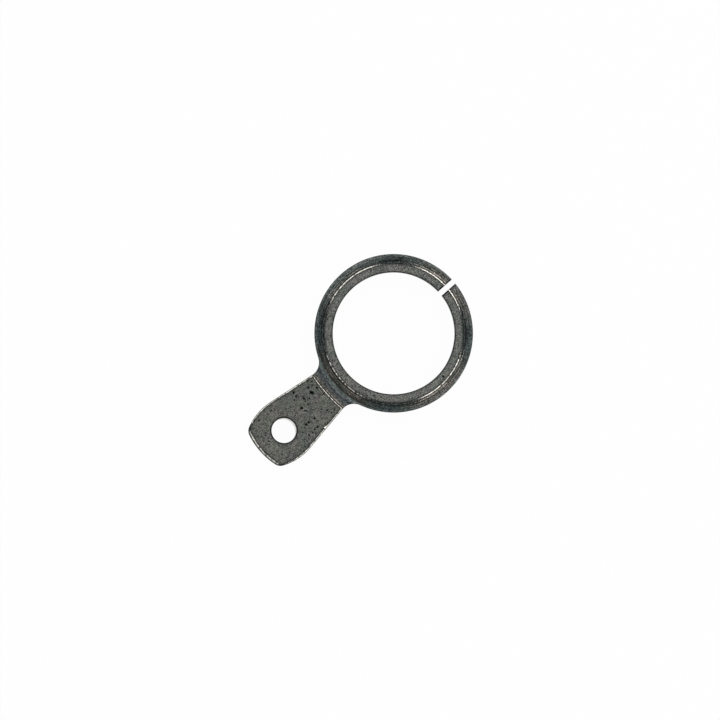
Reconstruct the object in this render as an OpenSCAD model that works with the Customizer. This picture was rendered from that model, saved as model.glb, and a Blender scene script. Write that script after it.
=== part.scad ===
/* [Ring] */
// Diameter of the ring's outer edge
ring_d = 3.25; // [3.15:0.01:3.4]
// Diameter of the bore that grips the round seat
bore_d = 2.5; // [2.4:0.02:2.56]
// Outer diameter of the flat collar on top of the ring
collar_d = 2.85; // [2.76:0.01:2.88]
// Thickness of the collar and the arm, which is that of the whole blank
blank_t = 0.4; // [0.36:0.01:0.5]
// Depth of the recess turned round the collar
recess_depth = 0.1; // [0.08:0.01:0.12]
// Diameter that the recess reaches on the arm
recess_d = 3.7; // [3.6:0.02:3.8]
// Width of the slit that makes the ring a spring
slit_w = 0.11; // [0.08:0.01:0.2]

/* [Arm] */
// Distance from the ring's axis to the hole's axis
hole_pitch = 3; // [2.9:0.02:3.2]
// Diameter of the round hole
hole_d = 0.51; // [0.4:0.01:0.6]
// Width of the arm beside the hole, where it is widest
arm_w = 1.27; // [1.2:0.01:1.34]
// How far the arm's end lies past the hole's axis
arm_end = 0.65; // [0.6:0.01:0.7]
// Width of the neck between the two root scallops
neck_w = 0.93; // [0.89:0.01:0.97]
// Distance from the ring's axis to the narrowest place of the neck
neck_x = 1.77; // [1.73:0.01:1.79]

/* [Edges] */
// Width of the polished bevel round the top of the arm
bevel = 0.035; // [0.02:0.005:0.06]
// Height of that bevel
bevel_h = 0.02; // [0.01:0.005:0.04]
// Width of the polished bevel round the top of the collar
collar_bevel = 0.025; // [0.015:0.001:0.03]
// Width of the countersink at each end of the hole
hole_bevel = 0.03; // [0.01:0.005:0.05]
// Width of the bevel at the top of the bore
bore_bevel = 0.025; // [0.01:0.005:0.04]
// Width of the broken edge on the ring's outer rims and round the arm's underside
edge = 0.015; // [0.005:0.001:0.02]

/* [Hidden] */
$fn = 144;

// How far the cutters stand out of what they cut
over = 0.1;

// Arcs that run smoothly into each other cross by this much, so that they meet in one clean edge
lap = 0.002;

// Fall of the collar's bevel for each millimetre of its width, and how far below the collar the cove begins
collar_slope = 0.58;
cove_top = 1.6 * collar_slope * collar_bevel;

// The recess's tool has a round nose that cuts a fine line just below the floor
tool_line = 0.004;
nose_r = recess_depth + tool_line - cove_top;
nose_x = collar_d / 2 + collar_bevel + nose_r;
recess_z = blank_t - recess_depth;
nose_z = recess_z - tool_line + nose_r;

// Run of the recess's end wall on the arm, for each millimetre of its height
wall_slope = 0.3;

// Radii of the arm's outline: the curved flank beside the hole, the end and the corner between them
flank_r = 1.15;
end_r = 1.5;
corner_r = 0.2;

// Centres of those arcs: the corner's arc touches the two others from inside
flank_c = [hole_pitch, arm_w / 2 - flank_r];
end_c = [hole_pitch + arm_end - end_r, 0];
corner_c = crossing(flank_c, flank_r - corner_r, end_c, end_r - corner_r);
flank_start = bearing(flank_c, corner_c);
corner_start = bearing(end_c, corner_c);

// Each scallop touches the ring from outside and is nearest to the centreline at the neck
scallop_r = touching_radius([neck_x, neck_w / 2], ring_d / 2);
scallop_c = [neck_x, neck_w / 2 + scallop_r];

// The arm's straight side touches the flank's arc from one side and the scallop from the other
side_span = norm(scallop_c - flank_c);
side_r = flank_r - lap;
side_turn = bearing(flank_c, scallop_c) - acos((side_r + scallop_r) / side_span);
side_l = sqrt(side_span ^ 2 - (side_r + scallop_r) ^ 2);
side_foot = scallop_c - scallop_r * [cos(side_turn), sin(side_turn)];

// Direction from one point to another, in degrees
function bearing(a, b) = atan2(b.y - a.y, b.x - a.x);

// The crossing of two circles that lies to the left of the way from c2 to c1
function crossing(c1, r1, c2, r2) =
    let (
        span = c1 - c2,
        d = norm(span),
        along = (d ^ 2 + r2 ^ 2 - r1 ^ 2) / (2 * d),
        aside = sqrt(r2 ^ 2 - along ^ 2)
    )
    c2 + (along * span + aside * [-span.y, span.x]) / d;

// Radius of a circle that has its lowest point at p and touches a circle of radius r round the origin
function touching_radius(p, r) = (p.x ^ 2 + p.y ^ 2 - r ^ 2) / (2 * (r - p.y));

// The children, and their mirror image across the arm's centreline
module both_sides() {
    children();
    mirror([0, 1, 0]) children();
}

// Section of the arm from depth inside its rim to the rim at r, bevelled above and broken below
module rim_section(r, depth) {
    polygon([
        [r - depth, 0], [r - edge, 0], [r, edge],
        [r, blank_t - bevel_h], [r - bevel, blank_t], [r - depth, blank_t]
    ]);
}

// A sector of a disc with the arm's rim
module rim_arc(centre, r, from, to) {
    translate(centre) rotate(from) rotate_extrude(angle = to - from) rim_section(r, r);
}

// One straight side, from the flank's arc to well inside the ring
module rim_side() {
    translate(flank_c) rotate(side_turn) rotate([90, 0, 0]) mirror([0, 0, 1])
        linear_extrude(side_l + 2 * scallop_r) rim_section(side_r, arm_w / 2);
}

module arm_blank() {
    flank_lap = 10;
    both_sides() {
        rim_arc(flank_c, flank_r, flank_start, side_turn + flank_lap);
        rim_arc(corner_c, corner_r + lap, 0, 360);
        rim_side();
    }
    rim_arc(end_c, end_r, -corner_start, corner_start);
}

// The neck's foot on the ring, with the corners that the scallops then round out
module neck_blank() {
    linear_extrude(recess_z) polygon([
        [0, 0], [scallop_c.x, -scallop_c.y], [side_foot.x, -side_foot.y], side_foot, scallop_c
    ]);
}

// The ring's disc, full height in the middle and with the edges of its rim broken
module ring_blank() {
    r = ring_d / 2;
    rotate_extrude() polygon([
        [0, 0], [r - edge, 0], [r, edge], [r, recess_z - edge],
        [r - edge - recess_depth, blank_t], [0, blank_t]
    ]);
}

// A straight round hole with its top edge bevelled
module hole_cutter(d, top) {
    translate([0, 0, -over]) cylinder(d = d, h = blank_t + 2 * over);
    translate([0, 0, blank_t - top - over])
        cylinder(r1 = d / 2 - over, r2 = d / 2 + top + over, h = top + 2 * over);
}

// The arm's hole, bevelled at both ends
module arm_hole_cutter() {
    translate([hole_pitch, 0, 0]) hole_cutter(hole_d, hole_bevel);
    translate([hole_pitch, 0, blank_t]) mirror([0, 0, 1]) hole_cutter(hole_d, hole_bevel);
}

// The turned recess: the collar's bevel, a cove at its foot, a flat floor and a steep wall on the arm
module recess_cutter() {
    collar_r = collar_d / 2;
    middle_x = nose_x - nose_r / 2;
    rotate_extrude() {
        translate([nose_x, nose_z]) circle(nose_r);
        polygon([
            [collar_r, blank_t], [middle_x, blank_t - collar_slope * (middle_x - collar_r)],
            [nose_x, recess_z], [recess_d / 2 - wall_slope * recess_depth, recess_z],
            [recess_d / 2 + wall_slope * over, blank_t + over], [collar_r, blank_t + over]
        ]);
    }
}

module scallop_cutter() {
    translate([scallop_c.x, scallop_c.y, -over]) cylinder(r = scallop_r + lap, h = blank_t + 2 * over);
}

module slit_cutter() {
    translate([-ring_d / 2 - over, -slit_w / 2, -over])
        cube([ring_d / 2, slit_w, blank_t + 2 * over]);
}

module regulator_ring() {
    color("dimgray") difference() {
        union() {
            ring_blank();
            neck_blank();
            arm_blank();
        }
        hole_cutter(bore_d, bore_bevel);
        arm_hole_cutter();
        recess_cutter();
        both_sides() scallop_cutter();
        slit_cutter();
    }
}

regulator_ring();
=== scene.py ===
"""Looks of a watch regulator ring: a split ring of dark steel with a flat arm, seen from straight above.

The part is one piece of steel. Its plan is laid out in mesh code, Geometry Nodes turn the recess round
the collar and strike the corrosion pits, and each finish has its own material.
"""

import math

import bmesh
import bpy
import numpy as np
from mathutils import Matrix, Vector, kdtree
from mathutils.geometry import delaunay_2d_cdt


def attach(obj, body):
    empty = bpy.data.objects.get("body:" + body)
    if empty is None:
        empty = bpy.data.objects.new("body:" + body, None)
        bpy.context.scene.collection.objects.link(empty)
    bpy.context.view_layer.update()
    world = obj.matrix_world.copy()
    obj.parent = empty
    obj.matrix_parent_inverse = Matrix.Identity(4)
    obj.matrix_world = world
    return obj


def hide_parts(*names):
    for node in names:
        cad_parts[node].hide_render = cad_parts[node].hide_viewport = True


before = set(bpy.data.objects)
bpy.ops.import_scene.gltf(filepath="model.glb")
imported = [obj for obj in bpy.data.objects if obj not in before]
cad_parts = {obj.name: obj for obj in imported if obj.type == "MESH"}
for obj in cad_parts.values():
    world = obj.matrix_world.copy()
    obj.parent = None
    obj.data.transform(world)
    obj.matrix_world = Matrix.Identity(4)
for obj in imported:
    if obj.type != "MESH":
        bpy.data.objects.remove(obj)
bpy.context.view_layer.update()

# All sizes are in millimetres, as on the drawing of the part, and Blender works in metres
MM = 0.001

# Ring
RING_R = 1.625
BORE_R = 1.25
BLANK_T = 0.4
SLIT_W = 0.11
SLIT_Y = 0.02
BORE_BEVEL = 0.016

# Turned recess: land, its polished edge, cove, tool line, floor and end wall on the arm
LAND_R = 1.426
LAND_EDGE_W = 0.028
LAND_EDGE_SLOPE = 0.42
LAND_EDGE_BOW = 9.0
COVE_R = 0.055
FLOOR_Z = 0.295
TOOL_LINE_R = 1.533
SECOND_LINE_R = 1.611
TOOL_LINE_W = 0.011
TOOL_LINE_H = 0.0055
RIPPLE_PITCH = 0.045
RIPPLE_H = 0.006
WALL_FOOT_R = 1.807
WALL_SLOPE = 0.3
LIP_R = 1.848
LIP_BACK = 1.6
LIP_W = 0.009
LIP_FALL = 0.55

# Arm
HOLE_X = 3.0
HOLE_R = 0.255
HOLE_BEVEL = 0.03
HOLE_LEAN = 0.05
ARM_W = 1.27
ARM_END = 0.65
NECK_W = 0.93
NECK_X = 1.77
FLANK_R = 1.15
END_R = 1.5
CORNER_R = 0.2
EDGE_R = 0.014

# The polished bevel is narrow along the arm's sides. Round the end it is wider, with a steeper outer part.
SIDE_BEVEL_W = 0.027
END_BEVEL_W = 0.056
BEVEL_SLOPE = 0.45
OUTER_SLOPE = 0.9
OUTER_SHARE = 0.4

# It was made by hand, so its width wavers, and a nick widens it at one place on the +Y side
WAVER = 0.0025
WAVER_STEP = 0.09
NICK_X = 2.345
NICK_W = 0.03
NICK_L = 0.1
NICK_STEP = 0.012

# Spacing of the points round the ring, along the arm's outline and its corners, and on the underside
RING_STEP = 0.0125
ARM_STEP = 0.011
CORNER_STEP = 0.0077
UNDER_STEP = 0.07
HOLE_STEPS = 160

# Points inside the arm lie in an even triangle grid, whose rows are closer than the points in them, and
# points that fill a face keep a margin from its edge
FILL_STEP = 0.0118
FILL_ROW = 0.866
FILL_GAP = 0.6 * FILL_STEP
TOP_MARGIN = 0.006
UNDER_MARGIN = 0.0004

# A filling keeps only the triangles inside its outline, and takes points this close as one
INSIDE_ONLY = 1
SAME_POINT = 1e-8

# Spacing of the rows on the recess's floor, on the land's polished edge, on the land and on the neck
FLOOR_STEP = 0.006
LAND_EDGE_STEP = 0.005
LAND_STEP = 0.0125
NECK_STEP = 0.009

# A row lies this far on each side of a crease, to keep it sharp, and the next rows keep a gap from it
CREASE = 0.0006
LIP_CREASE = 0.0008
LIP_FOOT_CREASE = 0.002
LAND_GAP = 0.01
LIP_GAP = 0.006


def bearing(a, b):
    """Direction from one point to another, in radians."""
    return math.atan2(b[1] - a[1], b[0] - a[0])


def crossing(c1, r1, c2, r2):
    """The crossing of two circles that lies to the left of the way from c2 to c1."""
    span = c1 - c2
    d = np.hypot(*span)
    along = (d * d + r2 * r2 - r1 * r1) / (2 * d)
    aside = math.sqrt(r2 * r2 - along * along)
    return c2 + (along * span + aside * np.array((-span[1], span[0]))) / d


# Centres and turning points of the outline's arcs, which run into each other without a corner
SCALLOP_R = (NECK_X**2 + NECK_W**2 / 4 - RING_R**2) / (2 * (RING_R - NECK_W / 2))
SCALLOP_C = np.array((NECK_X, NECK_W / 2 + SCALLOP_R))
FLANK_C = np.array((HOLE_X, ARM_W / 2 - FLANK_R))
END_C = np.array((HOLE_X + ARM_END - END_R, 0.0))
CORNER_C = crossing(FLANK_C, FLANK_R - CORNER_R, END_C, END_R - CORNER_R)
RING_TURN = bearing((0, 0), SCALLOP_C)
SIDE_SPAN = math.dist(SCALLOP_C, FLANK_C)
SIDE_TURN = bearing(FLANK_C, SCALLOP_C) - math.acos((FLANK_R + SCALLOP_R) / SIDE_SPAN)
SIDE_L = math.sqrt(SIDE_SPAN**2 - (FLANK_R + SCALLOP_R) ** 2)
FLANK_TURN = bearing(FLANK_C, CORNER_C)
END_TURN = bearing(END_C, CORNER_C)

# Rows of the mesh, as distances from an edge, close together where an edge is rounded or bevelled
EDGE_ROWS = (0, 0.001, 0.004, 0.008, 0.014)
RIM_ROWS = EDGE_ROWS + (0.02, 0.0255, 0.0265, 0.032, 0.038, 0.0434, 0.0446, 0.048, 0.054, 0.062)
SLIT_ROWS = EDGE_ROWS + (0.018, 0.03, 0.045, 0.062)
BORE_ROWS = EDGE_ROWS + (0.0155, 0.0165, 0.022, 0.03, 0.038, 0.05)
HOLE_ROWS = EDGE_ROWS + (0.016, 0.022, 0.0295, 0.0305, 0.036, 0.044)
LIP_ROWS = (LIP_CREASE, LIP_GAP, 0.013)
HOLE_UNDER_ROWS = (0.008, 0.016, 0.024, HOLE_BEVEL, HOLE_BEVEL + 0.006)

# The rim's rows up to here lie on the arm's bevel, and widen and narrow with it
BEVEL_ROW = 0.044

# Turns of the rows on the cove, in degrees, and heights of the rows on the sides and in the arm's hole
COVE_ROWS = range(6, 90, 8)
SIDE_ROWS = (0.265, 0.2, 0.13, 0.06, EDGE_R)
HOLE_SIDE_ROWS = (0.3, 0.2, 0.1, HOLE_BEVEL)


def shares(length, step, crowd_start=1.0, crowd_end=1.0):
    """Shares of a length at about a step from each other, closer towards an end where crowd is above 1."""
    t = np.linspace(0, 1, max(3, round(length / step)) + 1)
    return 1 - (1 - t**crowd_start) ** crowd_end


def facing(turns):
    """Directions at some turns, as unit vectors."""
    return np.column_stack((np.cos(turns), np.sin(turns)))


def arc(centre, radius, start, end, share):
    """Points on an arc at shares of the way from start to end."""
    return np.asarray(centre) + radius * facing(start + (end - start) * share)


def circle(x, radius):
    """Points on a circle round a place on the arm's centreline."""
    return arc((x, 0), radius, 0, 2 * math.pi, np.arange(HOLE_STEPS) / HOLE_STEPS)


# The outline's points, which crowd round the place where the scallop runs into the arm's straight side
FOOT_SHARES = shares(SCALLOP_R * (SIDE_TURN - RING_TURN), ARM_STEP, crowd_end=1.5)
SIDE_SHARES = shares(SIDE_L, ARM_STEP, crowd_start=1.4)[1:-1, None]
FLANK_SHARES = shares(FLANK_R * (SIDE_TURN - FLANK_TURN), ARM_STEP)
CORNER_SHARES = shares(CORNER_R * (FLANK_TURN - END_TURN), CORNER_STEP)[1:]
END_SHARES = shares(END_R * END_TURN, ARM_STEP)[1:]

# The arm's outline and its outward directions, from its foot on the ring's +Y side to the middle of its end
foot_turns = RING_TURN + math.pi + (SIDE_TURN - RING_TURN) * FOOT_SHARES
side_turns = np.full(len(SIDE_SHARES), SIDE_TURN)
flank_turns = SIDE_TURN + (FLANK_TURN - SIDE_TURN) * FLANK_SHARES
corner_turns = FLANK_TURN + (END_TURN - FLANK_TURN) * CORNER_SHARES
end_turns = END_TURN - END_TURN * END_SHARES
foot = SCALLOP_C + SCALLOP_R * facing(foot_turns)
flank = FLANK_C + FLANK_R * facing(flank_turns)
side = foot[-1] + SIDE_SHARES * (flank[0] - foot[-1])
corner = CORNER_C + CORNER_R * facing(corner_turns)
end = END_C + END_R * facing(end_turns)
arm_turns = np.concatenate((side_turns, flank_turns, corner_turns, end_turns))
arm_edge = np.vstack((foot, side, flank, corner, end))
arm_out = np.vstack((-facing(foot_turns), facing(arm_turns)))

# How far each point lies on the way from the arm's sides to its end, by the outline's direction there
toward_end = np.clip((FLANK_TURN - arm_turns) / (FLANK_TURN - END_TURN), 0, 1)
toward_end = np.concatenate((np.zeros(len(foot)), toward_end))
arm_edge, arm_out, toward_end = (
    np.concatenate((half, half[-2::-1] * mirror))
    for half, mirror in ((arm_edge, (1, -1)), (arm_out, (1, -1)), (toward_end, 1))
)
along = np.concatenate(((0,), np.cumsum(np.hypot(*np.diff(arm_edge, axis=0).T))))
knots = np.arange(0, along[-1] + WAVER_STEP, WAVER_STEP)
waver = np.interp(along, knots, np.random.default_rng(4).normal(0, WAVER, len(knots)))
nick = np.interp(arm_edge[:, 0] - NICK_X, (-NICK_L, 0, NICK_STEP), (0, 1, 0)) * (arm_edge[:, 1] > 0)
bevel_w = SIDE_BEVEL_W + (END_BEVEL_W - SIDE_BEVEL_W) * toward_end + waver + NICK_W * nick
outer_w = EDGE_R + OUTER_SHARE * (bevel_w - EDGE_R)
past_foot = np.minimum(2 * FOOT_SHARES, 1)
past_foot = np.concatenate((past_foot, np.ones(len(arm_edge) - 2 * len(past_foot)), past_foot[::-1]))
row_w = BEVEL_ROW + (bevel_w - BEVEL_ROW) * past_foot


def arm_inset(row):
    """Insets of a row's points along the arm: the rows of the bevel widen and narrow with it."""
    return row + (row_w - BEVEL_ROW) * np.clip((row - EDGE_R) / (BEVEL_ROW - EDGE_R), 0, 1)


def arm_bevel(inset):
    """How far the bevel lies below the arm's face at each point of a row."""
    outer = np.clip(outer_w - inset, 0, None) * toward_end
    return BEVEL_SLOPE * np.clip(bevel_w - inset, 0, None) + (OUTER_SLOPE - BEVEL_SLOPE) * outer


SIDE_COLUMNS = round(RING_R * (math.pi - RING_TURN) / RING_STEP)
NECK_COLUMNS = 2 * round(RING_R * RING_TURN / RING_STEP)
NECK_TURNS = np.linspace(RING_TURN, -RING_TURN, NECK_COLUMNS + 1)


def ring_side(radius, side):
    """Points on a circle, from the slit on the +Y side (1) or the -Y side (-1) to where the arm begins."""
    slit = math.pi - np.arcsin((SLIT_W / 2 + side * SLIT_Y + np.array(SLIT_ROWS)) / radius)
    rest = np.linspace(slit[-1], RING_TURN, SIDE_COLUMNS + 1)[1:]
    return arc((0, 0), radius, 0, 1, np.concatenate((slit, rest))) * (1, side)


def neck_span(radius):
    """Points on a circle of the ring across the neck, without its two ends."""
    return arc((0, 0), radius, 0, 1, NECK_TURNS[1:-1])


def lip_reach(x, y):
    """Distance that is the same all along the lip's arc, which is flatter than the ring's circles."""
    return np.hypot(x + LIP_BACK, y) - LIP_BACK


def rounded(distance, radius=EDGE_R):
    """How far a rounded edge lies below its surface at a distance from the edge."""
    inward = np.clip(radius - np.asarray(distance, float), 0, radius)
    return radius - np.sqrt(radius**2 - inward**2)


def bevelled(distance, width, height):
    """How far a bevelled edge lies below its surface at a distance from the edge."""
    return height * np.clip(1 - distance / width, 0, 1)


def distance_to(points, cloud):
    """Distance in plan from each point of a cloud to the nearest of some points."""
    tree = kdtree.KDTree(len(points))
    for number, point in enumerate(points):
        tree.insert((*point[:2], 0), number)
    tree.balance()
    return np.array([tree.find((*point[:2], 0))[2] for point in cloud])


class Shell:
    """The points and faces of the part while they are laid out, and how far each edge is rounded off."""

    def __init__(self):
        self.blocks = []
        self.drops = []
        self.faces = []
        self.count = 0

    def points(self):
        """All points so far."""
        return np.vstack(self.blocks)

    def add(self, plan, z, drop=0.0):
        """Adds points at plan positions and heights, and returns their numbers."""
        self.blocks.append(np.column_stack((plan, np.broadcast_to(z, len(plan)))))
        self.drops.append(np.broadcast_to(drop, len(plan)))
        self.count += len(plan)
        return np.arange(self.count - len(plan), self.count)

    def strips(self, rows, closed=False):
        """Joins each row of points to the next with four-sided faces."""
        for one, other in zip(rows, rows[1:]):
            if closed:
                one, other = np.append(one, one[0]), np.append(other, other[0])
            self.faces.extend(np.column_stack((one[:-1], one[1:], other[1:], other[:-1])).tolist())

    def fill(self, outer, hole, cloud, margin):
        """Fills a closed clockwise row of points round a hole with triangles between a cloud's points."""
        known = self.points()
        edge = np.concatenate((outer[::-1], hole))
        cloud = cloud[distance_to(known[edge], cloud) > margin]
        numbers = np.concatenate((edge, self.add(cloud[:, :2], cloud[:, 2])))
        places = [Vector(p[:2]) for p in np.vstack((known[edge], cloud))]
        loops = [range(len(outer)), range(len(outer), len(edge))]
        _, _, triangles, origin, _, inside = delaunay_2d_cdt(places, [], loops, INSIDE_ONLY, SAME_POINT)
        for triangle, owners in zip(triangles, inside):
            if owners == [0]:
                self.faces.append([int(numbers[origin[corner][0]]) for corner in triangle])


def level_plan(plan, z):
    """Plan positions with a height."""
    return np.column_stack((plan, np.full(len(plan), z)))


shell = Shell()

# Outer band of the top, along the ring, the scallops and the arm, from one face of the slit to the other
slit_drop = rounded(SLIT_ROWS)
half = len(ring_side(RING_R, 1))
side_drop = np.concatenate((slit_drop, np.zeros(half - len(slit_drop))))
band = []
for inset in RIM_ROWS:
    one_side = ring_side(RING_R - inset, 1)
    other_side = ring_side(RING_R - inset, -1)[::-1]
    inward = arm_inset(inset)[1:-1, None]
    arm = arm_edge[1:-1] - arm_out[1:-1] * inward
    low = np.concatenate((np.zeros(half), arm_bevel(arm_inset(inset))[1:-1], np.zeros(half)))
    drop = rounded(inset) + np.concatenate((side_drop, np.zeros(len(arm)), side_drop[::-1]))
    plan = np.vstack((one_side, arm, other_side))
    band.append(shell.add(plan, BLANK_T - low, drop))
shell.strips(band)

# Rows of the ring from inside the outer band to the bore
cove_turns = np.radians(COVE_ROWS)
wall_r = LAND_R + LAND_EDGE_W
cove_end = wall_r + COVE_R
ring_radii = np.concatenate(
    (
        np.arange(RING_R - RIM_ROWS[-1] - FLOOR_STEP, cove_end, -FLOOR_STEP),
        (cove_end - COVE_R * np.cos(cove_turns))[::-1],
        (wall_r, wall_r - CREASE),
        np.arange(wall_r - LAND_EDGE_STEP, LAND_R + LAND_EDGE_STEP / 2, -LAND_EDGE_STEP),
        (LAND_R + CREASE, LAND_R - CREASE),
        np.arange(LAND_R - LAND_GAP, BORE_R + BORE_ROWS[-1] + LAND_STEP / 2, -LAND_STEP),
        BORE_R + np.array(BORE_ROWS[::-1]),
    )
)
row_drop = np.concatenate((side_drop, np.zeros(NECK_COLUMNS - 1), side_drop[::-1]))
across = shell.add(neck_span(RING_R - RIM_ROWS[-1]), BLANK_T)
rows = [np.concatenate((band[-1][:half], across, band[-1][-half:]))]
for radius in ring_radii:
    z = BLANK_T - bevelled(radius - BORE_R, BORE_BEVEL, BORE_BEVEL)
    plan = np.vstack((ring_side(radius, 1), neck_span(radius), ring_side(radius, -1)[::-1]))
    rows.append(shell.add(plan, z, row_drop))
shell.strips(rows)

# Rows round the arm's hole
hole_rows = []
for inset in HOLE_ROWS:
    z = BLANK_T - bevelled(inset, HOLE_BEVEL, HOLE_BEVEL)
    hole_rows.append(shell.add(circle(HOLE_X, HOLE_R + inset), z))
shell.strips(hole_rows, closed=True)

# The neck is filled with points on circles round the ring's axis, so that the turned marks stay clean
neck_radii = np.arange(RING_R - RIM_ROWS[-1] + NECK_STEP, WALL_FOOT_R - LIP_GAP, NECK_STEP)
lip_foot = LIP_R - LIP_W
lip_radii = np.concatenate(
    (
        (WALL_FOOT_R - LIP_CREASE, WALL_FOOT_R + LIP_CREASE),
        np.linspace(WALL_FOOT_R + LIP_GAP, lip_foot - LIP_GAP, 3),
        np.linspace(lip_foot - LIP_FOOT_CREASE, LIP_R - LIP_CREASE, 6),
        LIP_R + np.array(LIP_ROWS),
    )
)
fill = [arc((0, 0), radius, 0, 1, NECK_TURNS) for radius in neck_radii]
for radius in lip_radii:
    turns = NECK_TURNS * radius / (LIP_BACK + radius)
    fill.append(arc((-LIP_BACK, 0), LIP_BACK + radius, 0, 1, turns))

# The rest of the arm is filled evenly
x = np.arange(RING_R, HOLE_X + ARM_END, FILL_STEP)
y = np.arange(-ARM_W / 2, ARM_W / 2, FILL_STEP * FILL_ROW)
grid = np.stack(np.meshgrid(x, y), -1)
grid[1::2, :, 0] += FILL_STEP / 2
grid = grid.reshape(-1, 2)
clear = lip_reach(grid[:, 0], grid[:, 1]) > lip_radii[-1] + FILL_GAP
clear &= np.hypot(grid[:, 0] - HOLE_X, grid[:, 1]) > HOLE_R + HOLE_ROWS[-1]
fill.append(grid[clear])
outline = np.concatenate((band[-1][half - 1 : 1 - half], across[::-1]))
shell.fill(outline, hole_rows[-1], level_plan(np.vstack(fill), BLANK_T), TOP_MARGIN)


def rim(level):
    """Numbers of the top's points at the level-th row from every edge, as one closed row."""
    outer = band[level][level : len(band[level]) - level]
    bore = rows[-1 - level][level : len(rows[-1]) - level]
    rest = band[level + 1 :] + rows[1 : len(rows) - 1 - level]
    back = [row[-1 - level] for row in rest]
    out = [row[level] for row in rest]
    return np.concatenate((outer, back, bore[::-1], out[::-1]))


# Sides: one closed row runs round the ring and arm, through the slit, round the bore and back
top_plan = shell.points()[:, :2]
side_rows = [rim(0)]
for z in SIDE_ROWS:
    side_rows.append(shell.add(top_plan[rim(0)], z))
shell.strips(side_rows, closed=True)
hole_sides = [hole_rows[0]]
for z in HOLE_SIDE_ROWS:
    hole_sides.append(shell.add(circle(HOLE_X + HOLE_LEAN * (1 - z / BLANK_T), HOLE_R), z))
shell.strips(hole_sides, closed=True)

# Underside: flat, with its edges rounded and the hole bevelled as above
hole_under = [hole_sides[-1]]
for inset in HOLE_UNDER_ROWS:
    z = bevelled(inset, HOLE_BEVEL, HOLE_BEVEL)
    hole_under.append(shell.add(circle(HOLE_X + HOLE_LEAN, HOLE_R + inset), z))
shell.strips(hole_under, closed=True)
x = np.arange(-RING_R, HOLE_X + ARM_END, UNDER_STEP)
y = np.arange(-RING_R, RING_R, UNDER_STEP)
cloud = [level_plan(np.stack(np.meshgrid(x, y), -1).reshape(-1, 2), 0)]
for level in range(1, len(EDGE_ROWS)):
    cloud.append(level_plan(top_plan[rim(level)], rounded(EDGE_ROWS[level])))
shell.fill(side_rows[-1], hole_under[-1], np.vstack(cloud), UNDER_MARGIN)


def from_edge(points):
    """Distance of each point of the top from the nearest edge of its lapped face. Others count as far."""
    far = BLANK_T
    from_axis = np.hypot(points[:, 0], points[:, 1])
    reach = lip_reach(points[:, 0], points[:, 1])
    from_outline = distance_to(arm_edge - arm_out * bevel_w[:, None], points)
    from_hole = np.hypot(points[:, 0] - HOLE_X, points[:, 1]) - HOLE_R
    from_slit = np.where(points[:, 0] < 0, np.abs(points[:, 1] - SLIT_Y) - SLIT_W / 2, far)
    on_land = np.minimum(np.minimum(from_axis - BORE_R, LAND_R - from_axis), from_slit)
    on_arm = np.minimum(np.minimum(from_outline, reach - LIP_R), from_hole)
    return np.where(points[:, 2] < BLANK_T / 2, far, np.where(from_axis < RING_R, on_land, on_arm))


def store(mesh, name, values, kind="FLOAT", domain="POINT"):
    """Stores a value for each point or face of a mesh."""
    mesh.attributes.new(name, kind, domain).data.foreach_set("value", values)


def put_in_scene(name, data):
    """Makes an object and puts it in the scene."""
    made = bpy.data.objects.new(name, data)
    bpy.context.scene.collection.objects.link(made)
    return made


points = shell.points()
mesh = bpy.data.meshes.new("plan")
mesh.from_pydata((points * MM).tolist(), [], shell.faces)
store(mesh, "drop", np.concatenate(shell.drops) * MM)
store(mesh, "from_edge", from_edge(points) * MM)

# Each face belongs to one finish, by its place and by how far it faces up or down
LAPPED, TURNED, POLISHED, MILLED, REAMED = range(5)
LEVEL = 0.999
SLANTED = 0.5
STEEP = 0.3
SIDE_TOP = 0.29
middle = np.empty(3 * len(mesh.polygons))
normals = np.empty(3 * len(mesh.polygons))
mesh.polygons.foreach_get("center", middle)
mesh.polygons.foreach_get("normal", normals)
middle = middle.reshape(-1, 3) / MM
flatness = np.abs(normals.reshape(-1, 3)[:, 2])
radius = np.hypot(middle[:, 0], middle[:, 1])
reach = lip_reach(middle[:, 0], middle[:, 1])
from_hole = np.hypot(middle[:, 0] - HOLE_X, middle[:, 1])
finish = np.full(len(middle), LAPPED)
finish[(radius > LAND_R) & (reach < LIP_R)] = TURNED
finish[(radius > LAND_R) & (radius < LAND_R + LAND_EDGE_W)] = POLISHED
finish[(reach > LIP_R - LIP_W) & (reach < LIP_R)] = POLISHED
finish[(reach > LIP_R) & (flatness < LEVEL)] = POLISHED
finish[radius < BORE_R + BORE_BEVEL] = MILLED
finish[: (len(EDGE_ROWS) - 1) * (len(band[0]) - 1)] = MILLED
finish[(middle[:, 2] < SIDE_TOP) | (flatness < STEEP) | (from_hole < HOLE_R + HOLE_BEVEL)] = MILLED
finish[(from_hole < HOLE_R + HOLE_LEAN) & (flatness < SLANTED)] = REAMED
finish[middle[:, 2] < 0.5 * EDGE_R] = LAPPED
store(mesh, "finish", finish, "INT", "FACE")

# The faces are turned outwards before the sections are cut
shape = bmesh.new()
shape.from_mesh(mesh)
bmesh.ops.delete(shape, geom=[v for v in shape.verts if not v.link_faces], context="VERTS")
bmesh.ops.recalc_face_normals(shape, faces=shape.faces)
shape.to_mesh(mesh)
shape.free()
mesh.shade_smooth()
blank = put_in_scene("blank", mesh)


def add(tree, kind, inputs=(), **settings):
    """Adds a node with its settings, and gives its inputs, by name or in order, values or other nodes."""
    node = tree.nodes.new(kind)
    for name, value in settings.items():
        setattr(node, name, value)
    in_order = [socket for socket in node.inputs if socket.enabled]
    given = inputs.items() if isinstance(inputs, dict) else enumerate(inputs)
    for key, value in given:
        socket = node.inputs[key] if isinstance(key, str) else in_order[key]
        if isinstance(value, bpy.types.Node):
            value = next(output for output in value.outputs if output.enabled)
        if isinstance(value, bpy.types.NodeSocket):
            tree.links.new(value, socket)
        else:
            socket.default_value = value
    return node


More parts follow.
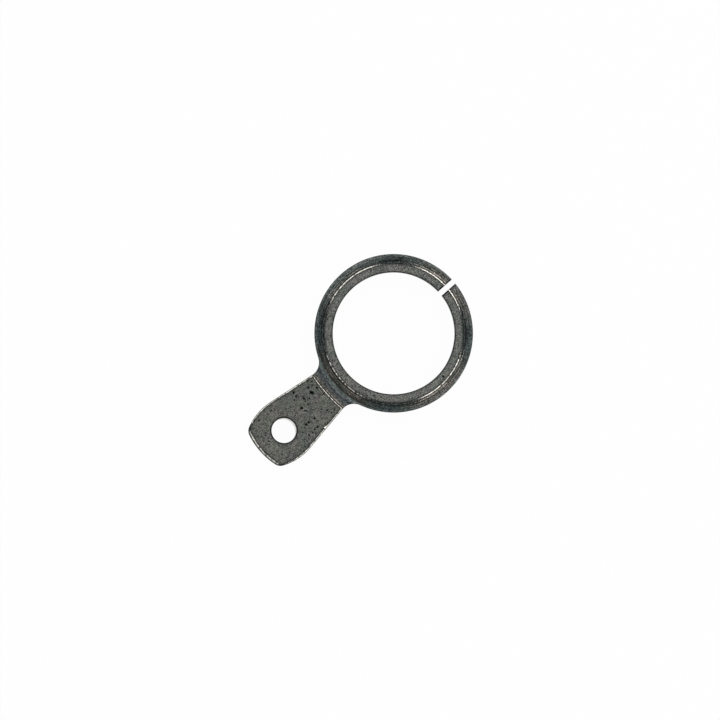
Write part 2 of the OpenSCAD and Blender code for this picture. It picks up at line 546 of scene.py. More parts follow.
def colour(code):
    """A colour written as sRGB hex, as the linear values that a shader takes."""
    parts = [int(code[i : i + 2], 16) / 255 for i in (1, 3, 5)]
    return (*(c / 12.92 if c <= 0.04045 else ((c + 0.055) / 1.055) ** 2.4 for c in parts), 1)


def per_mm(size):
    """Scale at which a pattern on Object coordinates has features of a size in millimetres."""
    return 1 / (size * MM)


def rising(value, start, end):
    """Inputs of a mask that goes from 0 at one size to 1 at another, both in millimetres."""
    return {"Value": value, "From Min": start * MM, "From Max": end * MM}


def between(tree, value, start, end, soft):
    """A mask that is 1 between two sizes and 0 outside, with soft ends."""
    rise = add(tree, "ShaderNodeMapRange", rising(value, start - soft, start + soft))
    fall = add(tree, "ShaderNodeMapRange", rising(value, end + soft, end - soft))
    return add(tree, "ShaderNodeMath", (rise, fall), operation="MINIMUM")


# Values of a pattern between which its colours change: grain, clouds, tool marks and tempering rings
GRAIN_SPREAD = (0.37, 0.63)
CLOUD_SPREAD = (0.35, 0.65)
MARK_SPREAD = (0.3, 0.7)
RING_SPREAD = (0.38, 0.62)

# Settings that nodes share: patterns with one, two or three finer ones inside them, a blend of two colours,
# a tint laid over a colour, and how much one value exceeds another, or else 0
ONE_FINER = {"Detail": 1, "Roughness": 0.5}
TWO_FINER = {"Detail": 2, "Roughness": 0.6}
THREE_FINER = {"Detail": 3, "Roughness": 0.6}
BLEND = {"data_type": "RGBA"}
TINT = {"data_type": "RGBA", "blend_type": "MULTIPLY"}
EXCESS = {"operation": "SUBTRACT", "use_clamp": True}


def steel(name):
    """Starts a finish on the steel, and returns its material, its node tree and the place on the part."""
    made = bpy.data.materials.new(name)
    made.use_nodes = True
    made.node_tree.nodes.clear()
    return made, made.node_tree, add(made.node_tree, "ShaderNodeTexCoord").outputs["Object"]


def shade(tree, tone, dull, height, depth, **inputs):
    """Ends a finish with its colour, roughness, bump in millimetres and the shader's other inputs."""
    bump = add(tree, "ShaderNodeBump", {"Height": height, "Distance": depth * MM})
    inputs = {"Metallic": 1, "Base Color": tone, "Roughness": dull, "Normal": bump, **inputs}
    shader = add(tree, "ShaderNodeBsdfPrincipled", inputs)
    add(tree, "ShaderNodeOutputMaterial", {"Surface": shader})


def two_tone(tree, pattern, low, high, dark, light):
    """Two colours that follow a pattern, from one of its values to another."""
    share = add(tree, "ShaderNodeMapRange", {"Value": pattern, "From Min": low, "From Max": high})
    return add(tree, "ShaderNodeMix", (share, colour(dark), colour(light)), **BLEND)


# Both edges of the slit are stained dark
STAIN_START = 0.012
STAIN_END = 0.045
SLIT_STAIN = colour("#5f5c66")


def near_slit(tree, place):
    """A mask of the stain along the slit."""
    axes = add(tree, "ShaderNodeSeparateXYZ", (place,)).outputs
    aside = add(tree, "ShaderNodeMath", (axes[1], SLIT_Y * MM), operation="SUBTRACT")
    aside = add(tree, "ShaderNodeMath", (aside,), operation="ABSOLUTE")
    stained = rising(aside, SLIT_W / 2 + STAIN_END, SLIT_W / 2 + STAIN_START)
    stained = add(tree, "ShaderNodeMapRange", stained)
    behind = add(tree, "ShaderNodeMath", (axes[0], 0), operation="LESS_THAN")
    return add(tree, "ShaderNodeMath", (stained, behind), operation="MULTIPLY")


# Tempered steel, lapped flat on a fine abrasive: dull grey with an even grain, faint green and violet
# patches, and dark pits. The arm is less bright than the land, and both have painted shade along their
# edges. The real grain and tool marks are too fine to show, and are drawn here and below as coarse as they
# need to be.
GRAIN = 0.0127
PATCH = 0.3
HUE_PATCH = 0.21
EDGE_SHADE_FADE = 0.07
EDGE_SHADE_LINE = 0.014
LAPPED_BUMP = 0.0015
lapped, tree, place = steel("tempered_steel_lapped")
grain, patch, hue_patch = (
    add(tree, "ShaderNodeTexNoise", {"Vector": place, "Scale": per_mm(size), **finer})
    for size, finer in ((GRAIN, TWO_FINER), (PATCH, THREE_FINER), (HUE_PATCH, ONE_FINER))
)
on_land = two_tone(tree, grain, *GRAIN_SPREAD, "#2d2c2c", "#d4d0d0")
on_arm = two_tone(tree, grain, *GRAIN_SPREAD, "#242322", "#c4c1be")
from_axis = add(tree, "ShaderNodeVectorMath", (place,), operation="LENGTH")
past_land = add(tree, "ShaderNodeMapRange", rising(from_axis, LAND_R, LIP_R))
tone = add(tree, "ShaderNodeMix", (past_land, on_land, on_arm), **BLEND)
clouds = two_tone(tree, patch, *CLOUD_SPREAD, "#e4e9e6", "#fffcf7")
hue = two_tone(tree, hue_patch, *CLOUD_SPREAD, "#f9fff9", "#fffbff")
# Painted shade: the lapped faces are darkened near their edges, and darker still in a line along each edge
edge_distance = add(tree, "ShaderNodeAttribute", attribute_name="from_edge").outputs["Fac"]
painted_edge_shade = add(tree, "ShaderNodeMapRange", rising(edge_distance, EDGE_SHADE_FADE, 0))
painted_edge_line_shade = add(tree, "ShaderNodeMapRange", rising(edge_distance, 2 * EDGE_SHADE_LINE, EDGE_SHADE_LINE))
layers = (
    (1, clouds),
    (1, hue),
    (painted_edge_shade, colour("#d8dbdb")),
    (painted_edge_line_shade, colour("#c0c0c0")),
    (near_slit(tree, place), SLIT_STAIN),
)
for share, layer in layers:
    tone = add(tree, "ShaderNodeMix", (share, tone, layer), **TINT)
pit = add(tree, "ShaderNodeAttribute", attribute_name="pit").outputs["Fac"]
tone = add(tree, "ShaderNodeMix", (pit, tone, colour("#121616")), **BLEND)
dull = {"Value": grain, "From Min": 0.3, "From Max": 0.7, "To Min": 0.52, "To Max": 0.62}
dull = add(tree, "ShaderNodeMapRange", dull)
shade(tree, tone, dull, grain, LAPPED_BUMP)

# Tempered steel, fine-turned: long circular tool marks spread the light across them, and short ones make a
# fine grain. MARK_RUN is how fast a mark changes along its circle, against across it.
TOOL_MARK = 0.026
MARK_RUN = 0.06
TURNED_GRAIN = 0.017
SHORT_MARK = 8
TURNED_CLOUD = 0.13
TURNED_BUMP = 0.006

# Places in the recess. The tool's nose rubbed the cove smooth, and it is brown beside the arm and on the -Y
# side. The floor is lighter in its outer part, and has a dark ring on the neck and a blue-grey one.
COVE_END = 1.492
COVE_SOFT = 0.012
NECK_X_RISE = (1.28, 1.42)
MINUS_Y_RISE = (-1.1, -1.4)
OUTER_RISE = (1.555, 1.595)
DARK_RING = (1.54, 1.585, 0.01)
BLUE_RING = (1.66, 1.735, 0.015)

# Tempering colours run in rings: teal, and warmer beside the slit, on the +Y side, on the inner part of the
# neck and close to the lip
TEMPER_RING = 0.07
WARM_RISE = (1.2, 1.5)
OUTER_COLD = -0.6
LIP_RISE = (1.715, 1.755)
LIP_WARM = 0.8
turned, tree, place = steel("tempered_steel_turned")
flat_place = add(tree, "ShaderNodeVectorMath", (place, (1, 1, 0)), operation="MULTIPLY")
from_axis = add(tree, "ShaderNodeVectorMath", (flat_place,), operation="LENGTH")
axes = add(tree, "ShaderNodeSeparateXYZ", (place,)).outputs
along_x, along_y = (add(tree, "ShaderNodeMath", (axes[i], MARK_RUN), operation="MULTIPLY") for i in (0, 1))
round_axis = add(tree, "ShaderNodeCombineXYZ", (from_axis, along_x, along_y))
short_run = (1, SHORT_MARK, SHORT_MARK)
short_marks = add(tree, "ShaderNodeVectorMath", (round_axis, short_run), operation="MULTIPLY")
patterns = (
    (round_axis, TOOL_MARK, TWO_FINER),
    (place, TURNED_CLOUD, TWO_FINER),
    (round_axis, TEMPER_RING, ONE_FINER),
    (short_marks, TURNED_GRAIN, TWO_FINER),
)
marks, patch, rings, grain = (
    add(tree, "ShaderNodeTexNoise", {"Vector": where, "Scale": per_mm(size), **finer})
    for where, size, finer in patterns
)
in_neck = add(tree, "ShaderNodeMapRange", rising(axes[0], *NECK_X_RISE))
on_minus_y = add(tree, "ShaderNodeMapRange", rising(axes[1], *MINUS_Y_RISE))
in_cove = add(tree, "ShaderNodeMapRange", rising(from_axis, COVE_END + COVE_SOFT, COVE_END - COVE_SOFT))
outer = add(tree, "ShaderNodeMapRange", rising(from_axis, *OUTER_RISE))
blue_ring = between(tree, from_axis, *BLUE_RING)
dark_ring = between(tree, from_axis, *DARK_RING)
dark_ring = add(tree, "ShaderNodeMath", (dark_ring, in_neck), operation="MULTIPLY")
# Painted shade: where the recess's face slants away from level, as on the wall under the lip, it is
# darkened
normal = add(tree, "ShaderNodeNewGeometry").outputs["Normal"]
upright = add(tree, "ShaderNodeSeparateXYZ", (normal,)).outputs["Z"]
painted_wall_shade = add(tree, "ShaderNodeMapRange", {"Value": upright, "From Min": 0.99, "From Max": 0.88})

# The floor and the cove take their light and dark from the tool marks
inner_tone, outer_tone, blue_tone = (
    two_tone(tree, marks, *MARK_SPREAD, dark, light)
    for dark, light in (("#84827f", "#fffdfa"), ("#d7d4d4", "#fffdfc"), ("#9c9ba3", "#c8c5cd"))
)
tone = add(tree, "ShaderNodeMix", (outer, inner_tone, outer_tone), **BLEND)
tone = add(tree, "ShaderNodeMix", (blue_ring, tone, blue_tone), **BLEND)
# The second of these tints is the painted shade on the slanting wall
for share, tint in ((dark_ring, "#b0a9a4"), (painted_wall_shade, "#8a8886")):
    tone = add(tree, "ShaderNodeMix", (share, tone, colour(tint)), **TINT)
brown = add(tree, "ShaderNodeMath", (in_neck, on_minus_y), operation="MAXIMUM")
grey_cove = two_tone(tree, marks, *MARK_SPREAD, "#666667", "#b2ada9")
brown_cove = two_tone(tree, marks, *MARK_SPREAD, "#666667", "#6c645d")
cove_tone = add(tree, "ShaderNodeMix", (brown, grey_cove, brown_cove), **BLEND)
tone = add(tree, "ShaderNodeMix", (in_cove, tone, cove_tone), **BLEND)

# Clouds, tempering colours, fine grain and the stain at the slit lie over both
clouds = two_tone(tree, patch, 0.35, 0.6, "#dde1e0", "#fffefb")
beside = add(tree, "ShaderNodeMath", (axes[0], -1), operation="MULTIPLY")
beside = add(tree, "ShaderNodeMath", (beside, axes[1]), operation="MAXIMUM")
warm = add(tree, "ShaderNodeMapRange", rising(beside, *WARM_RISE))
warm = add(tree, "ShaderNodeMath", (outer, OUTER_COLD, warm), operation="MULTIPLY_ADD", use_clamp=True)
inner_neck = add(tree, "ShaderNodeMath", (in_neck, outer), **EXCESS)
near_lip = add(tree, "ShaderNodeMapRange", {**rising(from_axis, *LIP_RISE), "To Max": LIP_WARM})
for too in (inner_neck, near_lip):
    warm = add(tree, "ShaderNodeMath", (warm, too), operation="MAXIMUM")
teal_rings = two_tone(tree, rings, *RING_SPREAD, "#d0dde1", "#eff3f5")
warm_rings = two_tone(tree, rings, *RING_SPREAD, "#e2e0dd", "#fff0ed")
temper = add(tree, "ShaderNodeMix", (warm, teal_rings, warm_rings), **BLEND)
speckle = two_tone(tree, grain, *GRAIN_SPREAD, "#636464", "#fdfdfd")
for share, layer in ((1, clouds), (1, temper), (1, speckle), (near_slit(tree, place), SLIT_STAIN)):
    tone = add(tree, "ShaderNodeMix", (share, tone, layer), **TINT)
dull = add(tree, "ShaderNodeMapRange", {"Value": in_cove, "To Min": 0.43, "To Max": 0.22})
outward = add(tree, "ShaderNodeVectorMath", (flat_place,), operation="NORMALIZE")
shade(tree, tone, dull, marks, TURNED_BUMP, Anisotropic=0.5, Tangent=outward)

# Steel polished after tempering: the bevels are bright with worn places and have painted shade beside the
# arm, and the reamed hole is evenly bright
WORN_PATCH = 0.05
BRIGHT_FROM = 0.35
BRIGHT_FULL = 0.6
BESIDE_ARM = (1.25, 1.5, 0.05)
SHADE_BESIDE_ARM = 0.09
POLISHED_BUMP = 0.0012
polished = []
for name, worn_colour in (("steel_polished_bevel", "#353432"), ("steel_reamed", "#a3a09b")):
    made, tree, place = steel(name)
    wear = add(tree, "ShaderNodeTexNoise", {"Vector": place, "Scale": per_mm(WORN_PATCH), **THREE_FINER})
    x_place = add(tree, "ShaderNodeSeparateXYZ", (place,)).outputs["X"]
    # Painted shade: beside the arm the bevel turns bright only at a higher value of the pattern, so it is
    # darker
    beside_arm = between(tree, x_place, *BESIDE_ARM)
    least = add(tree, "ShaderNodeMath", (beside_arm, SHADE_BESIDE_ARM, BRIGHT_FROM), operation="MULTIPLY_ADD")
    bright = add(tree, "ShaderNodeMapRange", {"Value": wear, "From Min": least, "From Max": BRIGHT_FULL})
    tone = add(tree, "ShaderNodeMix", (bright, colour(worn_colour), colour("#b6b3ae")), **BLEND)
    dull = add(tree, "ShaderNodeMapRange", {"Value": bright, "To Min": 0.22, "To Max": 0.11})
    shade(tree, tone, dull, wear, POLISHED_BUMP)
    polished.append(made)

# Tempered steel as the cutter left it: dark grey sides with fine marks that run round the outline
CUTTER_MARK = 0.02
CUTTER_RUN = (0.08, 0.08, 1)
MILLED_BUMP = 0.0015
milled, tree, place = steel("tempered_steel_milled")
stretched = add(tree, "ShaderNodeVectorMath", (place, CUTTER_RUN), operation="MULTIPLY")
marks = add(tree, "ShaderNodeTexNoise", {"Vector": stretched, "Scale": per_mm(CUTTER_MARK), **TWO_FINER})
tone = add(tree, "ShaderNodeMix", (marks, colour("#272a2c"), colour("#525452")), **BLEND)
dull = add(tree, "ShaderNodeMapRange", {"Value": marks, "To Min": 0.3, "To Max": 0.5})
shade(tree, tone, dull, marks, MILLED_BUMP)

FINISHES = {LAPPED: lapped, TURNED: turned, POLISHED: polished[0], MILLED: milled, REAMED: polished[1]}


def node_group(name, sizes):
    """Starts a geometry tree with named inputs, and returns it with its input and output nodes."""
    tree = bpy.data.node_groups.new(name, "GeometryNodeTree")
    tree.interface.new_socket("Geometry", in_out="OUTPUT", socket_type="NodeSocketGeometry")
    tree.interface.new_socket("Geometry", in_out="INPUT", socket_type="NodeSocketGeometry")
    for label, (kind, value) in sizes.items():
        tree.interface.new_socket(label, in_out="INPUT", socket_type=kind)
    return tree, add(tree, "NodeGroupInput").outputs, add(tree, "NodeGroupOutput")


def apply_group(piece, tree, sizes, name):
    """Gives a piece to a geometry tree with its sizes, and returns the result as a new piece."""
    modifier = piece.modifiers.new(tree.name, "NODES")
    modifier.node_group = tree
    for item in tree.interface.items_tree:
        if item.in_out == "INPUT" and item.name in sizes:
            modifier[item.identifier] = sizes[item.name][1]
    bpy.context.view_layer.update()
    ready = piece.evaluated_get(bpy.context.evaluated_depsgraph_get())
    made = put_in_scene(name, bpy.data.meshes.new_from_object(ready))
    bpy.data.objects.remove(piece)
    return made


# The largest corrosion pits, each with its place and radius, and a short scratch. Small ones are strewn
# over the lapped faces, most of them between the recess and the hole.
PITS = (
    (1.91, -0.37, 0.028), (1.95, -0.31, 0.024), (2.04, -0.33, 0.03), (1.92, -0.21, 0.037),
    (2.065, -0.215, 0.047), (2.058, -0.19, 0.046), (2.18, -0.15, 0.026), (2.26, -0.21, 0.034),
    (2.34, -0.45, 0.036), (2.35, -0.36, 0.032), (2.43, -0.33, 0.028), (2.28, -0.06, 0.032),
    (2.43, -0.1, 0.045), (2.41, -0.01, 0.034), (2.93, -0.48, 0.024), (2.37, 0.23, 0.03),
    (2.35, 0.31, 0.024), (2.51, 0.21, 0.036), (2.58, 0.2, 0.042), (2.44, 0.4, 0.032),
    (2.51, 0.4, 0.026), (2.59, 0.42, 0.026), (2.68, 0.41, 0.03), (-0.17, 1.33, 0.03),
)
SCRATCH = ((2.0, -0.08), (1.95, -0.04), (1.88, -0.02))
SCRATCH_R = 0.01
SCRATCH_SPOTS = 14
scratch_way = np.linspace(0, len(SCRATCH) - 1, SCRATCH_SPOTS)
scratch = [np.interp(scratch_way, range(len(SCRATCH)), places) for places in zip(*SCRATCH)]
spots = [*PITS, *((x, y, SCRATCH_R) for x, y in zip(*scratch))]
spot_mesh = bpy.data.meshes.new("largest_pits")
spot_mesh.from_pydata([(x * MM, y * MM, BLANK_T * MM) for x, y, r in spots], [], [])
store(spot_mesh, "size", [r * MM for x, y, r in spots])
largest = put_in_scene("largest_pits", spot_mesh)

FLOAT = "NodeSocketFloat"
corrosion = {
    "Largest Pits": ("NodeSocketObject", largest),
    "Seed": ("NodeSocketInt", 3),
    "Speck Density": (FLOAT, 40 / MM**2),
    "Pit Density": (FLOAT, 450 / MM**2),
    "Cluster Size": (FLOAT, 0.28 * MM),
    "Smallest Radius": (FLOAT, 0.007 * MM),
    "Largest Radius": (FLOAT, 0.022 * MM),
    "Ragged Edge": (FLOAT, 0.018 * MM),
    "Depth": (FLOAT, 0.4),
    "Dark From": (FLOAT, 0.38),
    "Pitted From": (FLOAT, 1.88 * MM),
    "Pitted To": (FLOAT, 2.75 * MM),
}
RAGGED_STEP = 0.03
tree, size, result = node_group("corrosion_pits", corrosion)

# Small pits lie in clusters, and most of them are among the smallest
place = add(tree, "GeometryNodeInputPosition")
x_place = add(tree, "ShaderNodeSeparateXYZ", (place,)).outputs["X"]
upward = add(tree, "ShaderNodeSeparateXYZ", (add(tree, "GeometryNodeInputNormal"),)).outputs["Z"]
kind = add(tree, "GeometryNodeInputNamedAttribute", {"Name": "finish"}, data_type="INT")
is_lapped = add(tree, "FunctionNodeCompare", (kind, LAPPED), data_type="INT", operation="EQUAL")
faces_up = add(tree, "ShaderNodeMath", (upward, 0.9), operation="GREATER_THAN")
is_top = add(tree, "ShaderNodeMath", (is_lapped, faces_up), operation="MULTIPLY")
cluster_scale = add(tree, "ShaderNodeMath", (1, size["Cluster Size"]), operation="DIVIDE")
clusters = add(tree, "ShaderNodeTexNoise", {"Vector": place, "Scale": cluster_scale, "Detail": 1})
clustered = add(tree, "ShaderNodeMapRange", {"Value": clusters, "From Min": 0.5, "From Max": 0.7})
begun = add(tree, "ShaderNodeMath", (x_place, size["Pitted From"]), operation="GREATER_THAN")
pitted_span = {"Value": x_place, "From Min": size["Pitted From"], "From Max": size["Pitted To"]}
fading = add(tree, "ShaderNodeMapRange", {**pitted_span, "To Min": begun, "To Max": 0})
pitting = add(tree, "ShaderNodeMath", (clustered, fading), operation="MULTIPLY")
density = (pitting, size["Pit Density"], size["Speck Density"])
density = add(tree, "ShaderNodeMath", density, operation="MULTIPLY_ADD")
strewn = {"Mesh": size["Geometry"], "Selection": is_top, "Density": density, "Seed": size["Seed"]}
strewn = add(tree, "GeometryNodeDistributePointsOnFaces", strewn)
chance = add(tree, "FunctionNodeRandomValue", {"Seed": size["Seed"]})
rarity = add(tree, "ShaderNodeMath", (chance, 3), operation="POWER")
strewn_r = {"Value": rarity, "To Min": size["Smallest Radius"], "To Max": size["Largest Radius"]}
strewn_r = add(tree, "ShaderNodeMapRange", strewn_r)
strewn = {"Geometry": strewn, "Name": "size", "Value": strewn_r}
strewn = add(tree, "GeometryNodeStoreNamedAttribute", strewn)
chosen = add(tree, "GeometryNodeObjectInfo", {"Object": size["Largest Pits"]}).outputs["Geometry"]
chosen = add(tree, "GeometryNodeMeshToPoints", {"Mesh": chosen})
pits = add(tree, "GeometryNodeJoinGeometry", {"Geometry": strewn})
tree.links.new(chosen.outputs[0], pits.inputs["Geometry"])

# Each point of the face looks for its nearest pit from a little to one side, which makes the pits ragged
ragged = add(tree, "ShaderNodeTexNoise", {"Vector": place, "Scale": per_mm(RAGGED_STEP), "Detail": 1})
ragged = add(tree, "ShaderNodeVectorMath", (ragged.outputs["Color"], (0.5, 0.5, 0.5)), operation="SUBTRACT")
ragged = add(tree, "ShaderNodeVectorMath", (ragged, size["Ragged Edge"]), operation="SCALE")
found = add(tree, "ShaderNodeVectorMath", (place, ragged), operation="ADD")
nearest = add(tree, "GeometryNodeSampleNearest", {"Geometry": pits, "Sample Position": found})
centre = {"Geometry": pits, "Value": place, "Index": nearest}
centre = add(tree, "GeometryNodeSampleIndex", centre, data_type="FLOAT_VECTOR")
own_size = add(tree, "GeometryNodeInputNamedAttribute", {"Name": "size"})
pit_r = add(tree, "GeometryNodeSampleIndex", {"Geometry": pits, "Value": own_size, "Index": nearest})
distance = add(tree, "ShaderNodeVectorMath", (found, centre), operation="DISTANCE")
within = add(tree, "ShaderNodeMapRange", {"Value": distance, "From Max": pit_r, "To Min": 1, "To Max": 0})

# A pit is dark and sinks towards its middle. How far it sinks is added to what each point already drops by.
dark = add(tree, "ShaderNodeMapRange", {"Value": within, "From Max": size["Dark From"]})
drop = add(tree, "GeometryNodeInputNamedAttribute", {"Name": "drop"})
bowl = add(tree, "ShaderNodeMath", (within, pit_r), operation="MULTIPLY")
sunk = add(tree, "ShaderNodeMath", (bowl, size["Depth"], drop), operation="MULTIPLY_ADD")
pitted = size["Geometry"]
for name, value in (("pit", dark), ("drop", sunk)):
    pitted = {"Geometry": pitted, "Name": name, "Value": value}
    pitted = add(tree, "GeometryNodeStoreNamedAttribute", pitted)
last = add(tree, "GeometryNodeRealizeInstances", {"Geometry": pitted})
last = add(tree, "GeometryNodeSetMaterial", {"Geometry": last, "Material": lapped})
tree.links.new(last.outputs[0], result.inputs[0])
pitted_blank = apply_group(blank, tree, corrosion, "pitted_blank")
bpy.data.objects.remove(largest)

# Turned section: every point of the top sinks to what the lathe leaves at its distance from the axis
lengths = {
    "Blank Thickness": BLANK_T,
    "Land Radius": LAND_R,
    "Land Edge Width": LAND_EDGE_W,
    "Cove Radius": COVE_R,
    "Floor Height": FLOOR_Z,
    "Tool Line Radius": TOOL_LINE_R,
    "Second Line Radius": SECOND_LINE_R,
    "Tool Line Width": TOOL_LINE_W,
    "Tool Line Height": TOOL_LINE_H,
    "Ripple Pitch": RIPPLE_PITCH,
    "Ripple Height": RIPPLE_H,
    "Wall Foot Radius": WALL_FOOT_R,
    "Lip Radius": LIP_R,
    "Lip Back": LIP_BACK,
    "Lip Width": LIP_W,
}
section = {label: (FLOAT, length * MM) for label, length in lengths.items()}
section["Land Edge Slope"] = (FLOAT, LAND_EDGE_SLOPE)
section["Land Edge Bow"] = (FLOAT, LAND_EDGE_BOW / MM)
section["Wall Slope"] = (FLOAT, WALL_SLOPE)
section["Lip Fall"] = (FLOAT, LIP_FALL)
tree, size, result = node_group("turned_section", section)
place = add(tree, "GeometryNodeInputPosition")
axes = add(tree, "ShaderNodeSeparateXYZ", (place,)).outputs
flat_place = add(tree, "ShaderNodeVectorMath", (place, (1, 1, 0)), operation="MULTIPLY")
from_axis = add(tree, "ShaderNodeVectorMath", (flat_place,), operation="LENGTH")

# The land's edge falls more and more steeply
past_land = add(tree, "ShaderNodeMath", (from_axis, size["Land Radius"]), **EXCESS)
slope = (past_land, size["Land Edge Bow"], size["Land Edge Slope"])
slope = add(tree, "ShaderNodeMath", slope, operation="MULTIPLY_ADD")
fall = add(tree, "ShaderNodeMath", (past_land, slope), operation="MULTIPLY")
edge_z = add(tree, "ShaderNodeMath", (size["Blank Thickness"], fall), operation="SUBTRACT")

# The cove is a quarter round that ends on the floor
wall_r = add(tree, "ShaderNodeMath", (size["Land Radius"], size["Land Edge Width"]), operation="ADD")
cove_end = add(tree, "ShaderNodeMath", (wall_r, size["Cove Radius"]), operation="ADD")
run = add(tree, "ShaderNodeMath", (cove_end, from_axis), **EXCESS)
run_squared = add(tree, "ShaderNodeMath", (run, run), operation="MULTIPLY")
cove_squared = add(tree, "ShaderNodeMath", (size["Cove Radius"], size["Cove Radius"]), operation="MULTIPLY")
left = add(tree, "ShaderNodeMath", (cove_squared, run_squared), **EXCESS)
sag = add(tree, "ShaderNodeMath", (left,), operation="SQRT")
cove_top = add(tree, "ShaderNodeMath", (size["Floor Height"], size["Cove Radius"]), operation="ADD")
cove_z = add(tree, "ShaderNodeMath", (cove_top, sag), operation="SUBTRACT")

# Two fine lines of the tool, and ripples on the floor outside the first one
spans = []
for start in (size["Tool Line Radius"], size["Second Line Radius"]):
    end = add(tree, "ShaderNodeMath", (start, size["Tool Line Width"]), operation="ADD")
    spans.append({"Value": from_axis, "From Min": start, "From Max": end})
line_height = {"To Min": size["Tool Line Height"], "To Max": 0}
lines = [add(tree, "ShaderNodeMapRange", {**span, **line_height}) for span in spans]
lines = add(tree, "ShaderNodeMath", lines, operation="ADD")
past_line = add(tree, "ShaderNodeMapRange", spans[0])
ripple = add(tree, "ShaderNodeMath", (from_axis, size["Ripple Pitch"]), operation="DIVIDE")
ripple = add(tree, "ShaderNodeTexNoise", {"W": ripple, "Scale": 1, "Detail": 1}, noise_dimensions="1D")
ripple = add(tree, "ShaderNodeMath", (ripple, 0.5), operation="SUBTRACT")
ripple = add(tree, "ShaderNodeMath", (ripple, size["Ripple Height"]), operation="MULTIPLY")
tooled = add(tree, "ShaderNodeMath", (ripple, past_line, lines), operation="MULTIPLY_ADD")
floor_z = add(tree, "ShaderNodeMath", (cove_z, tooled), operation="ADD")

# The steep wall on the arm, and the bevelled lip on top of it, on a flatter arc than the ring's circles
back = add(tree, "ShaderNodeCombineXYZ", (size["Lip Back"],))
from_back = add(tree, "ShaderNodeVectorMath", (flat_place, back), operation="ADD")
from_back = add(tree, "ShaderNodeVectorMath", (from_back,), operation="LENGTH")
reach = add(tree, "ShaderNodeMath", (from_back, size["Lip Back"]), operation="SUBTRACT")
from_foot = add(tree, "ShaderNodeMath", (reach, size["Wall Foot Radius"]), **EXCESS)
wall = add(tree, "ShaderNodeMath", (from_foot, size["Wall Slope"]), operation="DIVIDE")
wall_z = add(tree, "ShaderNodeMath", (floor_z, wall), operation="ADD")
to_lip = add(tree, "ShaderNodeMath", (size["Lip Radius"], reach), **EXCESS)
to_lip = add(tree, "ShaderNodeMath", (to_lip, size["Lip Width"]), operation="MINIMUM")
lip_fall = add(tree, "ShaderNodeMath", (to_lip, size["Lip Fall"]), operation="MULTIPLY")
lip_z = add(tree, "ShaderNodeMath", (size["Blank Thickness"], lip_fall), operation="SUBTRACT")
outer_z = add(tree, "ShaderNodeMath", (wall_z, lip_z), operation="MINIMUM")

# Every point of the top sinks to this section, and then by its own drop
inside = add(tree, "ShaderNodeMath", (from_axis, wall_r), operation="LESS_THAN")
turned_z = add(tree, "GeometryNodeSwitch", (inside, outer_z, edge_z), input_type="FLOAT")
new_z = add(tree, "ShaderNodeMath", (axes["Z"], turned_z), operation="MINIMUM")
drop = add(tree, "GeometryNodeInputNamedAttribute", {"Name": "drop"})
new_z = add(tree, "ShaderNodeMath", (new_z, drop), operation="SUBTRACT")
moved = add(tree, "ShaderNodeCombineXYZ", (axes["X"], axes["Y"], new_z))
shaped = add(tree, "GeometryNodeSetPosition", {"Geometry": size["Geometry"], "Position": moved})
last = add(tree, "GeometryNodeRealizeInstances", {"Geometry": shaped})
kind = add(tree, "GeometryNodeInputNamedAttribute", {"Name": "finish"}, data_type="INT")
for number, made in FINISHES.items():
    same = add(tree, "FunctionNodeCompare", (kind, number), data_type="INT", operation="EQUAL")
    last = {"Geometry": last, "Selection": same, "Material": made}
    last = add(tree, "GeometryNodeSetMaterial", last)
tree.links.new(last.outputs[0], result.inputs[0])
ring = apply_group(pitted_blank, tree, section, "steel_ring")

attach(ring, "root")
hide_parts("regulator_ring")

# Studio: four soft boxes, like the sides of a light tent, with dark gaps between them. The world is dim, so
# that the gaps show in the polished and turned surfaces. Each box has its direction round the part, in
# degrees, and its share of the light.
SOFT_BOXES = ((0, 0.54), (96, 1), (184, 1.2), (267, 0.85))
BOX_FALL = 57
BOX_DISTANCE = 0.12
BOX_WIDTH = 0.093
BOX_HEIGHT = 0.075
BOX_RADIANCE = 2.92
WORLD_STRENGTH = 0.105
for turn, share in SOFT_BOXES:
    light = bpy.data.lights.new("soft_box", "AREA")
    light.shape = "RECTANGLE"
    light.size = BOX_WIDTH
    light.size_y = BOX_HEIGHT
    light.color = colour("#fffdf9")[:3]
    light.energy = share * BOX_RADIANCE * math.pi * BOX_WIDTH * BOX_HEIGHT
    box = put_in_scene("soft_box", light)
    turn, fall = math.radians(turn), math.radians(BOX_FALL)
    aim = Vector((math.sin(fall) * math.cos(turn), math.sin(fall) * math.sin(turn), math.cos(fall)))
    box.location = aim * BOX_DISTANCE
    box.rotation_euler = aim.to_track_quat("Z", "Y").to_euler()
    box.visible_camera = False

world = bpy.data.worlds.new("studio")
world.use_nodes = True
sky = world.node_tree.nodes["Background"].inputs
sky["Color"].default_value = colour("#97cfd7")
sky["Strength"].default_value = WORLD_STRENGTH
bpy.context.scene.world = world

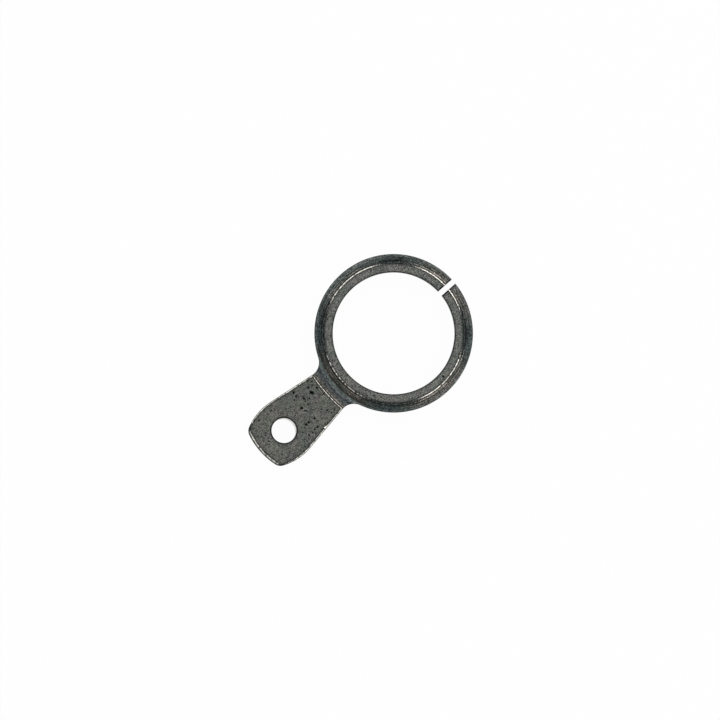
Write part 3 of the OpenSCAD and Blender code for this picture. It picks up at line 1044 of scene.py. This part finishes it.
# Floor: white paper just below the part, which keeps a faint shadow. It can't be seen from below.
FLOOR_R = 0.4
FLOOR_GAP = 0.004
PAPER_GLOW = 0.97
under = (0, 0, -FLOOR_GAP * MM)
bpy.ops.mesh.primitive_circle_add(vertices=96, radius=FLOOR_R, fill_type="NGON", location=under)
floor = bpy.context.object
floor.name = "floor"
paper = bpy.data.materials.new("white_paper")
paper.use_nodes = True
tree = paper.node_tree
tree.nodes.clear()
sheet = add(tree, "ShaderNodeBsdfDiffuse", {"Color": colour("#ffffff")})
glow = add(tree, "ShaderNodeEmission", {"Color": colour("#ffffff"), "Strength": 1})
path = add(tree, "ShaderNodeLightPath").outputs
seen = add(tree, "ShaderNodeMath", (path["Is Camera Ray"], path["Is Glossy Ray"]), operation="MAXIMUM")
seen = add(tree, "ShaderNodeMath", (seen, path["Is Transmission Ray"]), operation="MAXIMUM")
share = add(tree, "ShaderNodeMath", (seen, PAPER_GLOW), operation="MULTIPLY")
lit = add(tree, "ShaderNodeMixShader", (share, sheet, glow))
clear = add(tree, "ShaderNodeBsdfTransparent")
below = add(tree, "ShaderNodeNewGeometry").outputs["Backfacing"]
surface = add(tree, "ShaderNodeMixShader", (below, lit, clear))
add(tree, "ShaderNodeOutputMaterial", {"Surface": surface})
floor.data.materials.append(paper)

# Camera: straight above the middle of the picture, turned so that the arm points to the lower left
PICTURE_W = 14.73
PICTURE_C = (0.8785, -0.0484)
ARM_TURN = math.radians(221.55)
LENS = 200
SENSOR_W = 36
camera = bpy.data.cameras.new("camera")
camera.lens = LENS
camera.sensor_width = SENSOR_W
camera.clip_start = 0.005
camera.clip_end = 5
eye = put_in_scene("camera", camera)
height = BLANK_T + PICTURE_W * LENS / SENSOR_W
right = Vector((math.cos(ARM_TURN), -math.sin(ARM_TURN), 0))
up = Vector((math.sin(ARM_TURN), math.cos(ARM_TURN), 0))
turn = Matrix((right, up, right.cross(up))).transposed().to_4x4()
eye.matrix_world = Matrix.Translation(Vector((*PICTURE_C, height)) * MM) @ turn
bpy.context.scene.camera = eye
bpy.context.scene.view_settings.view_transform = "Standard"

bpy.context.view_layer.update()
